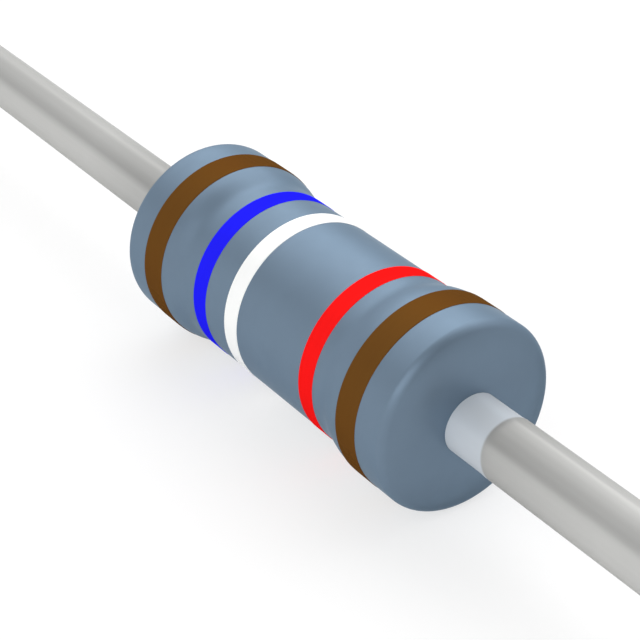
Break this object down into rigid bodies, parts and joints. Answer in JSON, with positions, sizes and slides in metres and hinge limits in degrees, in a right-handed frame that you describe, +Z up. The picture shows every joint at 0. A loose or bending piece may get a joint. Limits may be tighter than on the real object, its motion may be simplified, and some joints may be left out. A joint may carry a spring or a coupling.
{
  "type": "axial resistor",
  "caption": "Axial film resistor with a lacquered dog-bone body, painted value code rings and straight tinned wires.",
  "frame": {"origin": "middle of the body, on the axis that the body and both wires share", "axes": "+X along the axis towards the wire beside the tolerance ring, +Z up, +Y across"},
  "size_m": [0.026, 0.0016, 0.0016],
  "materials": {
    "rod_ceramic": "matte",
    "film_alloy": "satin",
    "cap_steel": "satin",
    "tinned_wire": "satin",
    "body_lacquer": "satin",
    "brown_paint": "satin",
    "blue_paint": "satin",
    "white_paint": "satin",
    "red_paint": "satin"
  },
  "bodies": {
    "root": {"ceramic_rod": "rod_ceramic", "resistive_film": "film_alloy", "end_cap_left": "cap_steel", "end_cap_right": "cap_steel", "lead_left": "tinned_wire", "lead_right": "tinned_wire", "lacquer_coating": "body_lacquer", "first_digit_ring": "brown_paint", "second_digit_ring": "blue_paint", "third_digit_ring": "white_paint", "multiplier_ring": "red_paint", "tolerance_ring": "brown_paint"}
  },
  "joints": []
}
